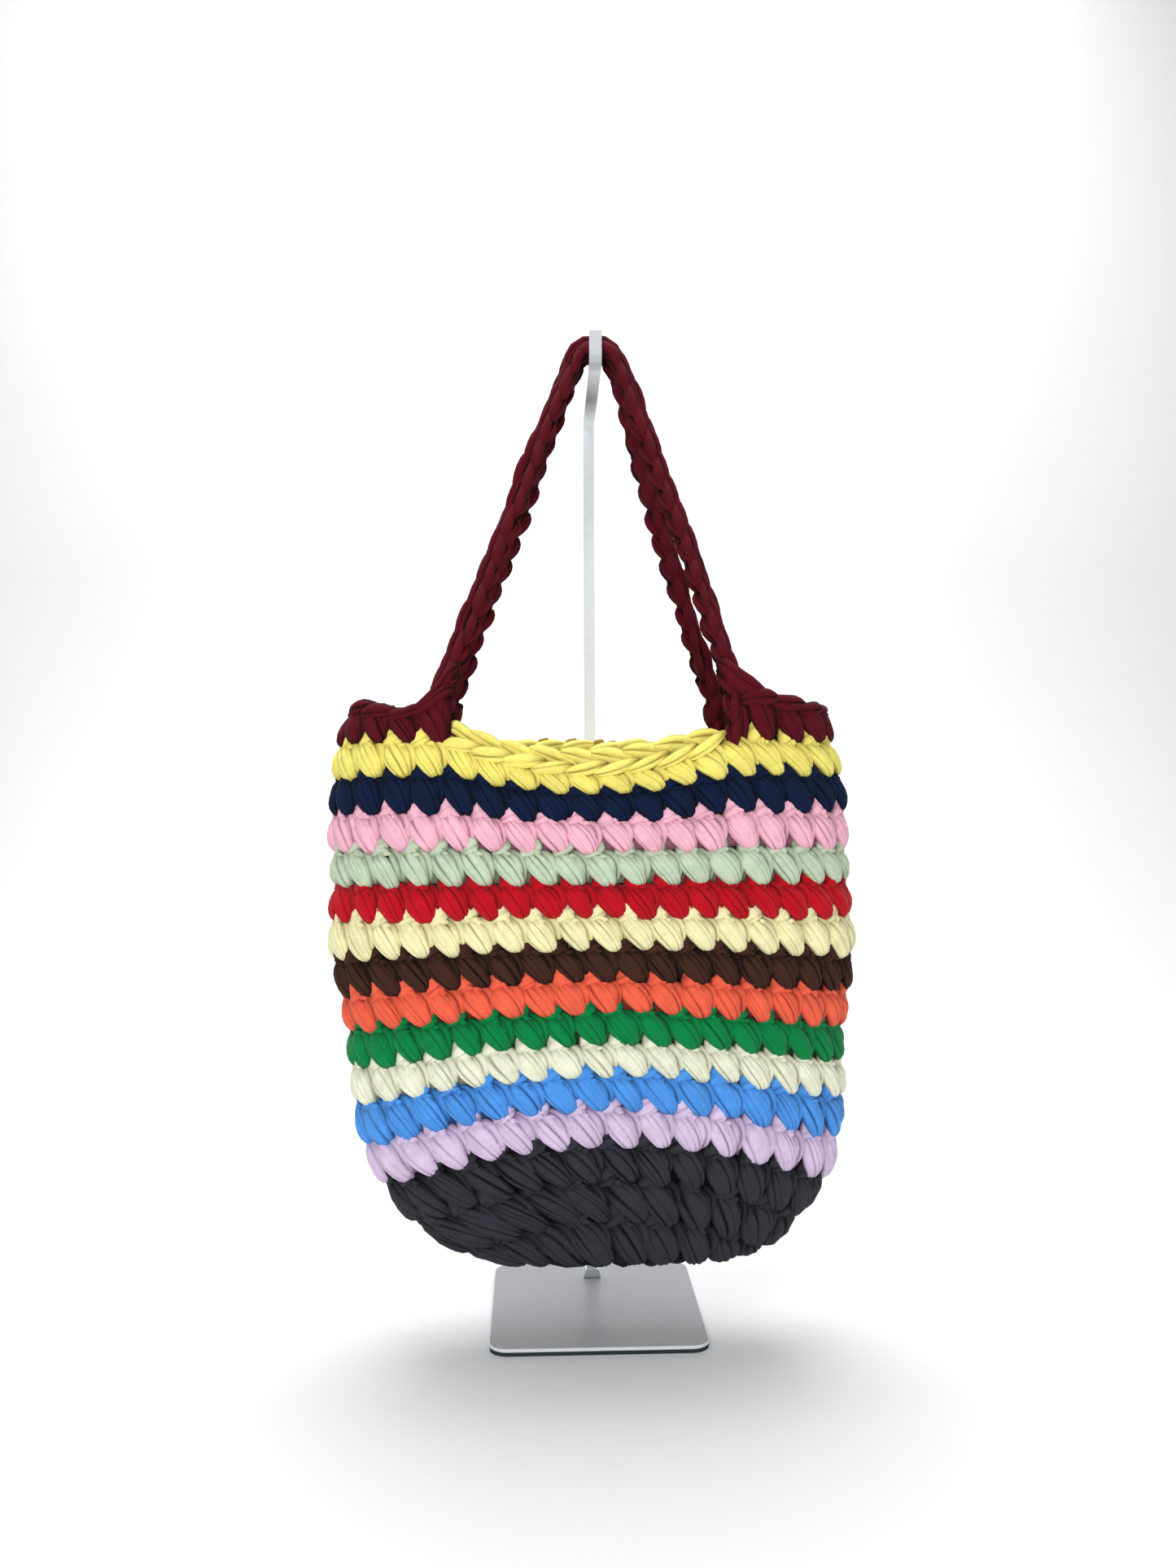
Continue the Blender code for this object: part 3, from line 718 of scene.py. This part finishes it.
def build_rim(yarn, start):
    """The braid of slanting strands along the open stretches of the rim."""
    course = Course(yarn, RIM_LEVEL, middle=0.0)
    for column in range(course.count):
        begin = start + column / course.count
        if on_shoulder(begin + 0.5 / course.count, spare=-0.06):
            continue
        chance = seeded(RIM_SEED, column)
        facing = math.cos(2 * math.pi * row_place(begin, course.run))
        front = shaped(RIM_FRONT, chance, course.pitch, count=12)
        front[:, 1] += ROW_HEIGHT * RIM_FAR_DROP * (1 - facing)
        course.put(front, chance, 2, begin)
        back = shaped(RIM_BACK, chance, course.pitch)
        back[:, 1] -= ROW_HEIGHT * (RIM_INNER_RISE[0] + RIM_INNER_RISE[1] * facing)
        far = facing < 0
        if far:
            back[:, 2] *= -1
        course.put(back, chance, 2, begin, inside=far, shade=0.010)


def build_floor(yarn, level):
    """Stitches across the closed bottom."""
    for ring in (1, 2):
        add_band(yarn, level + ring, top=-0.08, bottom=1.0)
        course = Course(yarn, level + ring, middle=0.2, least=8)
        for column in range(course.count):
            chance = seeded(FLOOR_SEED + ring, column)
            begin = column / course.count
            petal = shaped(PETAL, chance, course.pitch, count=8)
            petal[:, 2] *= FLOOR_FLATNESS
            peak = shaped(PEAK, chance, course.pitch, count=9)
            peak[:, 2] *= FLOOR_FLATNESS
            course.put(peak, chance, 1, begin)
            course.put(petal, chance, 3, begin)
            course.put(shaped(INNER, chance, course.pitch, count=6), chance, 2, begin, inside=True)


def build_rows():
    """One piece for each row of the bag."""
    for index, row in enumerate(ROWS):
        level = RIM_LEVEL + index
        start = row_start(row, level)
        last = index == len(ROWS) - 1
        yarn = Yarn()
        knit_row(yarn, index, level, start, tall=LAST_TALL if last else 1.0, wide=LAST_WIDE if last else 1.0)
        add_band(yarn, level)
        if index == 0:
            build_rim(yarn, start)
        if last:
            build_floor(yarn, level)
        yarn.build(row[NODE].replace("row_", ""), row[NODE], row[YARN])


# Shoulders


def build_shoulder_top(course, start, picks):
    """The chain that runs along a shoulder's top from one handle to the other."""
    for column in range(course.count):
        begin = start + column / course.count
        if picks(begin):
            chance = seeded(TOP_SEED, column)
            course.put(shaped(TOP_FRONT, chance, course.pitch), chance, 2, begin)
            course.put(shaped(TOP_BACK, chance, course.pitch), chance, 2, begin, shade=0.009)


def build_ties(course, side, middle):
    """The strands that run from the two handles down to one shoulder's top."""
    reach = (HANDLE_TURN - TIE_SHORT) / (2 * math.pi)
    for way, order in itertools.product((1, -1), (0, 1)):
        place = middle - way * reach
        begin = float(np.interp(place, np.arange(ROUND + 1) / ROUND, np.append(course.run, 1.0)))
        chance = seeded(TIE_SEED, side, way, order)
        path = shaped(TIE, chance, STITCH, count=14)
        path[:, 0] *= way
        path[:, 1] += TIE_DROP * order * ROW_HEIGHT
        path[:, 2] -= TIE_DEPTH * order
        course.put(path, chance, 2, begin, shade=0.003)


def build_shoulders():
    """The two tabs of petals that carry the handles."""
    start = row_start(ROWS[0], RIM_LEVEL)
    for side, name, middle in ((1, "shoulder_right", 0.25), (-1, "shoulder_left", 0.75)):
        yarn = Yarn()
        course = Course(yarn, RIM_LEVEL - 1)

        def picks(begin, course=course, middle=middle):
            """Whether most of a stitch lies on this shoulder."""
            near = abs(row_place(begin, course.run) - middle) < 0.25
            return near and on_shoulder(begin) and on_shoulder(begin + 0.7 * STITCH / course.length)

        knit_row(yarn, SHOULDER_SEED, RIM_LEVEL - 1, start, picks)
        reach = (HANDLE_TURN - BAND_SHORT) / (2 * math.pi)
        add_band(yarn, RIM_LEVEL - 1, SHOULDER_BAND, arc=(middle - reach, middle + reach))
        build_shoulder_top(course, start, picks)
        build_ties(course, side, middle)
        yarn.build(name, name, "burgundy")


# Handles


def rim_station(turn):
    """The point of the rim at one angle."""
    column = (turn + math.pi / 2) / (2 * math.pi) * ROUND
    return LINES[RIM_LEVEL, int(round(column)) % ROUND].copy()


def foot_turn(side, front, short=0.0):
    """The angle at which a handle stands, or one that falls short of it on the way from the bag's end."""
    end = 0.0 if side > 0 else math.pi
    return end + (HANDLE_TURN - short) * (-1 if front == (side > 0) else 1)


def handle_foot(side, front):
    """Where a handle stands on a shoulder, as the solid model has it."""
    turn = foot_turn(side, front)
    end = rim_station(turn)
    inner = rim_station(turn + (STATION if front == (side > 0) else -STATION))
    along = (inner - end) * (1, 1, 0)
    along /= np.linalg.norm(along)
    foot = end + along * HANDLE_INSET
    foot[2] = end[2] + SHOULDER_HEIGHT + SHOULDER_RISE + GAP
    return foot


def half_line(side, front, crest_height, crest_y):
    """One half of a handle's middle line from its foot to the crest, with its swell."""
    foot = handle_foot(side, front)
    centre_z = crest_height - CREST_RADIUS
    reach = math.hypot(foot[0], centre_z - foot[2])
    touch = math.atan2(foot[2] - centre_z, side * foot[0]) + math.acos(CREST_RADIUS / reach)
    start_x = side * CREST_RADIUS * math.cos(touch)
    start_z = centre_z + CREST_RADIUS * math.sin(touch)
    bow = (FRONT_BOW if front else BACK_BOW) if side > 0 else 0.0
    points = []
    for share in np.linspace(0, 1, 60, endpoint=False):
        x = foot[0] + (start_x - foot[0]) * share + bow * math.sin(math.pi * share**0.7)
        points.append((x, foot[2] + (start_z - foot[2]) * share, 0.0))
    for share in np.linspace(0, 1, 24, endpoint=False):
        angle = touch + (math.pi / 2 - touch) * share
        x = side * CREST_RADIUS * math.cos(angle)
        points.append((x, centre_z + CREST_RADIUS * math.sin(angle), share))
    line = []
    for x, z, swell in points:
        y = crest_y + (foot[1] - crest_y) * (crest_height - z) / (crest_height - foot[2])
        line.append((x, y, z, swell))
    return line


def root_line(side, front, foot):
    """The buried end of a handle's middle line, from the rim to its foot."""
    end = rim_station(foot_turn(side, front, ROOT_SHORT))
    points = []
    for share in np.linspace(0, 1, 10, endpoint=False):
        ease = share**ROOT_EASE
        x, y = end[:2] * (1 - ease) + foot[:2] * ease
        points.append((x, y, end[2] + ROOT_HEIGHT + (foot[2] - end[2] - ROOT_HEIGHT) * share, 0.0))
    return points


class HandleLine:
    """A handle's middle line from its left root over the arm to its right root."""

    def __init__(self, front, crest_height, crest_y):
        sides = []
        for side in (-1, 1):
            half = half_line(side, front, crest_height, crest_y)
            sides.append(root_line(side, front, np.array(half[0][:3])) + half)
        line = np.array(sides[0] + [(0.0, crest_y, crest_height, 1.0)] + sides[1][::-1])
        self.points = line[:, :3]
        self.swell = line[:, 3]
        self.steps = np.concatenate([[0], np.cumsum(np.linalg.norm(np.diff(self.points, axis=0), axis=1))])
        self.total = self.steps[-1]
        self.forward = np.gradient(self.points, self.steps, axis=0)

    def read(self, along, table):
        """A table of the line's points, read at places along it."""
        return np.column_stack([np.interp(along, self.steps, table[:, axis]) for axis in range(3)])

    def carry(self, flat, turned=False):
        """Carries points given along, across and outwards from the line to their place."""
        along = np.clip(flat[:, 0], 0, self.total)
        forward = self.read(along, self.forward)
        forward /= np.linalg.norm(forward, axis=1, keepdims=True)
        away = np.array([0.0, 1.0, 0.0]) - forward * forward[:, 1:2]
        away /= np.linalg.norm(away, axis=1, keepdims=True)
        inner = np.cross(away, forward)
        broad = (flat[:, 1] * (1 + CREST_WIDENING * np.interp(along, self.steps, self.swell)))[:, None]
        spill = (flat[:, 0] - along)[:, None]
        sign = -1.0 if turned else 1.0
        return self.read(along, self.points) + forward * spill + inner * broad - away * flat[:, 2:3] * sign


def add_core(yarn, line):
    """The plain cord inside a handle that its links go round."""
    stations = np.linspace(0, line.total, CORE_STATIONS)
    rings = np.empty((CORE_STATIONS, CORE_SIDES, 3))
    for index in range(CORE_SIDES):
        angle = index * 2 * math.pi / CORE_SIDES
        across = np.full(CORE_STATIONS, CORE_HALVES[0] * math.cos(angle) - CORE_SHIFT)
        out = np.full(CORE_STATIONS, CORE_HALVES[1] * math.sin(angle))
        rings[:, index] = line.carry(np.column_stack([stations, across, out]))
    yarn.add(rings[:, ::-1], plain_marks(rings))


def link_path(table, chance, step, links, link, turned):
    """One strand's path at one link of a handle."""
    path = smooth_path(table, 9)
    way = 1 if step < links / 2 else -1
    late = 0.5 if turned and table is not LINK_INNER else 0.0
    path[:, 0] = (path[:, 0] * way + step + late) * link
    path[:, 1:] *= 0.001
    if table is LINK_INNER:
        away = abs(step + 0.5 - links / 2) * link
        path[:, 1] *= np.interp(away, INNER_FADE, (INNER_SMALL, 1.0))
    path[:, 3] *= chance.normal(1.0, 0.08)
    path[:, 0] += chance.normal(0, 0.0010)
    path[:, 1] += chance.normal(0, 0.0008)
    return path


def build_handle(name, front, crest_height, crest_y):
    """A crocheted chain over the stand's arm."""
    line = HandleLine(front, crest_height, crest_y)
    yarn = Yarn()
    add_core(yarn, line)
    links = round(line.total / LINK_LENGTH)
    link = line.total / links
    seed = FRONT_SEED if front else BACK_SEED
    tables = enumerate((LINK_OUTER, LINK_INNER, LINK_MIDDLE))
    for step, turned, (order, table) in itertools.product(range(-1, links + 1), (False, True), tables):
        chance = seeded(seed, step, order, turned)
        path = link_path(table, chance, step, links, link, turned)
        if path[:, 0].min() < -LINK_SPILL or path[:, 0].max() > line.total + LINK_SPILL:
            continue
        points, marks = bundle(path, chance, 1 if table is LINK_MIDDLE else 2)
        placed = line.carry(points.reshape(-1, 3), turned).reshape(points.shape)
        if turned:
            placed, marks = placed[:, ::-1], marks[:, ::-1]
        yarn.add(placed, marks)
    yarn.build(name, name, "burgundy")


def build_handles():
    """Both handles, one in front of the other on the arm."""
    crest_height = handle_foot(-1, True)[2] + HANDLE_DROP
    reach = HANDLE_DEPTH / 2 + GAP
    build_handle("handle_front", True, crest_height, -BAG_FORWARD - reach)
    build_handle("handle_back", False, crest_height, -BAG_FORWARD + reach)


# Materials


class Surface:
    """A procedural material in the making. Inputs are numbers, colours or other nodes' outputs."""

    def __init__(self, name):
        self.material = bpy.data.materials.new(name)
        self.material.use_nodes = True
        self.tree = self.material.node_tree
        self.shader = self.tree.nodes["Principled BSDF"]
        self.spot = self.add("ShaderNodeTexCoord").outputs["Object"]

    def feed(self, node, socket, source):
        """Gives one input its value."""
        if isinstance(source, (int, float)):
            node.inputs[socket].default_value = source
        elif isinstance(source, tuple):
            colour = node.inputs[socket].type == "RGBA"
            node.inputs[socket].default_value = (*source, 1.0) if colour else source
        else:
            self.tree.links.new(source, node.inputs[socket])

    def add(self, kind, inputs=(), **values):
        """One node."""
        node = self.tree.nodes.new(kind)
        for key, value in values.items():
            setattr(node, key, value)
        for socket, source in inputs:
            self.feed(node, socket, source)
        return node

    def shine(self, **sockets):
        """Inputs of the shader itself, with spaces in their names written as underscores."""
        for socket, source in sockets.items():
            self.feed(self.shader, socket.replace("_", " "), source)

    def noise(self, vector, scale, detail, roughness=0.5):
        """Soft spots."""
        inputs = [("Vector", vector), ("Scale", scale), ("Detail", detail), ("Roughness", roughness)]
        return self.add("ShaderNodeTexNoise", inputs).outputs[0]

    def ramp(self, value, start, end, low=0.0, high=1.0):
        """A value's stretch from start to end, spread from low to high."""
        inputs = [("Value", value), (1, start), (2, end), (3, low), (4, high)]
        return self.add("ShaderNodeMapRange", inputs).outputs[0]

    def combine(self, operation, first, second):
        """Arithmetic on two values."""
        return self.add("ShaderNodeMath", [(0, first), (1, second)], operation=operation).outputs[0]

    def mix(self, share, first, second):
        """Two colours mixed."""
        return self.add("ShaderNodeMix", [(0, share), (6, first), (7, second)], data_type="RGBA").outputs[2]

    def parts(self, vector):
        """A vector's three numbers."""
        return self.add("ShaderNodeSeparateXYZ", [(0, vector)]).outputs

    def normal(self):
        """The way each face looks."""
        return self.add("ShaderNodeNewGeometry").outputs["True Normal"]

    def bump(self, height, strength, distance, under=()):
        """Fine relief, over another if one is given."""
        inputs = [("Height", height), ("Strength", strength), ("Distance", distance), *under]
        return self.add("ShaderNodeBump", inputs).outputs[0]


def jersey(name, colour, crease):
    """Matt cotton jersey: painted shade in the creases and deep places, fine lines along each strand, soft
    mottling and sheen.
    """
    made = Surface(name)
    dark = max(colour) < DARK_YARN
    strand = made.parts(made.add("ShaderNodeAttribute", attribute_name="strand").outputs["Color"])
    # Painted shade: the marks' first channel mixes the crease colour, a painted shade, over the yarn's colour
    painted_light_share = made.combine("POWER", made.ramp(strand[0], 0.0, 0.75), DARK_POWER if dark else 1.0)
    mottle = made.noise(made.spot, 70.0, 3.0, 0.6)
    along = made.add("ShaderNodeCombineXYZ", [(0, strand[1]), (1, strand[2])]).outputs[0]
    drawn = made.add("ShaderNodeVectorMath", [(0, along), (1, (2.6, 0.22, 1.0))], operation="MULTIPLY")
    lines = made.noise(drawn.outputs[0], 1.0, 2.0, 0.55)
    knit = made.add("ShaderNodeTexVoronoi", [("Vector", made.spot), ("Scale", 1300.0)]).outputs[0]
    cloudy = made.ramp(mottle, 0.3, 0.7, 0.86, 1.08)
    threads = made.ramp(lines, 0.3, 0.7, 0.90, 1.08)
    toned = made.add(
        "ShaderNodeVectorMath",
        [(0, made.mix(painted_light_share, crease, colour)), (3, made.combine("MULTIPLY", cloudy, threads))],
        operation="SCALE",
    )
    fine = made.bump(knit, 0.10, 0.0003)
    made.shine(
        Base_Color=toned.outputs[0],
        Roughness=made.ramp(mottle, 0.0, 1.0, 0.74, 0.95),
        Sheen_Weight=0.02 if dark else 0.10,
        Sheen_Roughness=0.45,
        Specular_IOR_Level=0.14,
        Normal=made.bump(lines, 0.5, 0.0006, [("Normal", fine)]),
    )
    made.material.diffuse_color = (*colour, 1.0)
    return made.material


def lacquer():
    """Glossy white lacquer with faint unevenness, with painted shade: greyer at the arm's front end, dark
    under its middle.
    """
    made = Surface("stand_lacquer")
    cloud = made.noise(made.spot, 45.0, 4.0)
    ahead = made.parts(made.spot)[1]
    up = made.parts(made.normal())[2]
    # Painted shade: the arm's front end turns grey
    painted_tip_shade = made.ramp(ahead, -0.066, -0.080)
    toned = made.mix(painted_tip_shade, made.mix(cloud, (0.88, 0.955, 0.99), (0.92, 0.985, 1.0)), (0.53, 0.55, 0.57))
    # Painted shade: faces that look down under the arm's middle turn dark grey
    middle = made.combine("MULTIPLY", made.ramp(ahead, -0.068, -0.016, 0.10), made.ramp(ahead, 0.052, -0.006))
    shade = made.combine("MULTIPLY", middle, made.ramp(up, -0.05, -0.30))
    made.shine(
        Base_Color=made.mix(shade, toned, (0.16, 0.165, 0.175)),
        Roughness=made.ramp(cloud, 0.0, 1.0, 0.20, 0.34),
        Coat_Weight=0.12,
        Coat_Roughness=0.12,
        Normal=made.bump(cloud, 0.08, 0.0004),
    )
    return made.material


def plate_paint():
    """Satin grey top, with a painted highlight: a bright colour on the edges, where the faces do not look up.
    """
    made = Surface("stand_plate")
    # Painted highlight: faces that do not look up get the bright colour instead of the grey
    top = made.ramp(made.parts(made.normal())[2], 0.80, 0.98)
    cloud = made.noise(made.spot, 28.0, 6.0)
    grain = made.noise(made.spot, 900.0, 2.0)
    grey = made.mix(cloud, (0.245, 0.25, 0.26), (0.295, 0.30, 0.315))
    made.shine(
        Base_Color=made.mix(top, (0.82, 0.84, 0.86), grey),
        Roughness=made.ramp(cloud, 0.0, 1.0, 0.30, 0.48),
        Normal=made.bump(grain, 0.12, 0.0002),
    )
    return made.material


def pad_rubber():
    """Dark blue-green rubber with fine dust."""
    made = Surface("stand_pad")
    cloud = made.noise(made.spot, 160.0, 5.0)
    made.shine(
        Base_Color=made.mix(cloud, (0.004, 0.014, 0.017), (0.011, 0.028, 0.033)),
        Roughness=made.ramp(cloud, 0.0, 1.0, 0.55, 0.80),
        Normal=made.bump(cloud, 0.25, 0.0003),
    )
    return made.material


def pale_floor():
    """Pale matt floor."""
    made = Surface("pale_floor")
    cloud = made.noise(made.spot, 2.5, 3.0)
    made.shine(Base_Color=made.mix(cloud, (0.78, 0.78, 0.78), (0.82, 0.82, 0.82)), Roughness=0.9)
    return made.material


def dress_stand():
    """Better surfaces for the stand's own pieces."""
    strip = lacquer()
    surfaces = {
        "hook_post": strip,
        "post_socket": strip,
        "base_plate": plate_paint(),
        "base_pad": pad_rubber(),
    }
    for node, surface in surfaces.items():
        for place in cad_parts[node].material_slots:
            place.material = surface


# Room


def build_floor_plane():
    """A wide pale floor that curves up behind."""
    profile = [(FLOOR_FRONT, 0.0), (FLOOR_BEND, 0.0)]
    for step in range(1, BEND_STEPS + 1):
        angle = math.pi / 2 * step / BEND_STEPS
        rise = BEND_RADIUS - BEND_RADIUS * math.cos(angle)
        profile.append((FLOOR_BEND + BEND_RADIUS * math.sin(angle), rise))
    profile.append((FLOOR_BEND + BEND_RADIUS, FLOOR_TOP))
    points, faces = [], []
    for y, z in profile:
        points += [(-FLOOR_SIDE, y, z), (FLOOR_SIDE, y, z)]
    for step in range(len(profile) - 1):
        faces.append((2 * step, 2 * step + 1, 2 * step + 3, 2 * step + 2))
    mesh = bpy.data.meshes.new("floor")
    mesh.from_pydata(points, [], faces)
    mesh.shade_smooth()
    mesh.materials.append(pale_floor())
    floor = bpy.data.objects.new("floor", mesh)
    bpy.context.scene.collection.objects.link(floor)


def build_lights():
    """Soft square studio lights from the front, above and behind, with a pale surround."""
    world = bpy.data.worlds.new("surround")
    bpy.context.scene.world = world
    world.use_nodes = True
    world.node_tree.nodes["Background"].inputs[0].default_value = SURROUND_COLOUR
    world.node_tree.nodes["Background"].inputs[1].default_value = SURROUND_STRENGTH
    for name, place, aim, size, power in LIGHTS:
        data = bpy.data.lights.new(name, "AREA")
        data.shape = "SQUARE"
        data.size = size
        data.energy = power
        lamp = bpy.data.objects.new(name, data)
        bpy.context.scene.collection.objects.link(lamp)
        lamp.location = place
        lamp.rotation_mode = "QUATERNION"
        lamp.rotation_quaternion = (Vector(aim) - Vector(place)).to_track_quat("-Z", "Y")


def build_camera():
    """The camera of the photograph."""
    data = bpy.data.cameras.new("camera")
    data.sensor_width = CAMERA_SENSOR
    data.lens = CAMERA_LENS
    data.clip_start = CAMERA_NEAR
    camera = bpy.data.objects.new("camera", data)
    bpy.context.scene.collection.objects.link(camera)
    camera.location = CAMERA_PLACE
    camera.rotation_euler = CAMERA_TURN
    bpy.context.scene.camera = camera


MATERIALS = {name: jersey(f"jersey_{name}", *colours) for name, colours in YARNS.items()}
build_camera()
build_rows()
build_shoulders()
build_handles()
dress_stand()
build_floor_plane()
build_lights()
bpy.context.scene.view_settings.view_transform = "Standard"
bpy.context.view_layer.update()
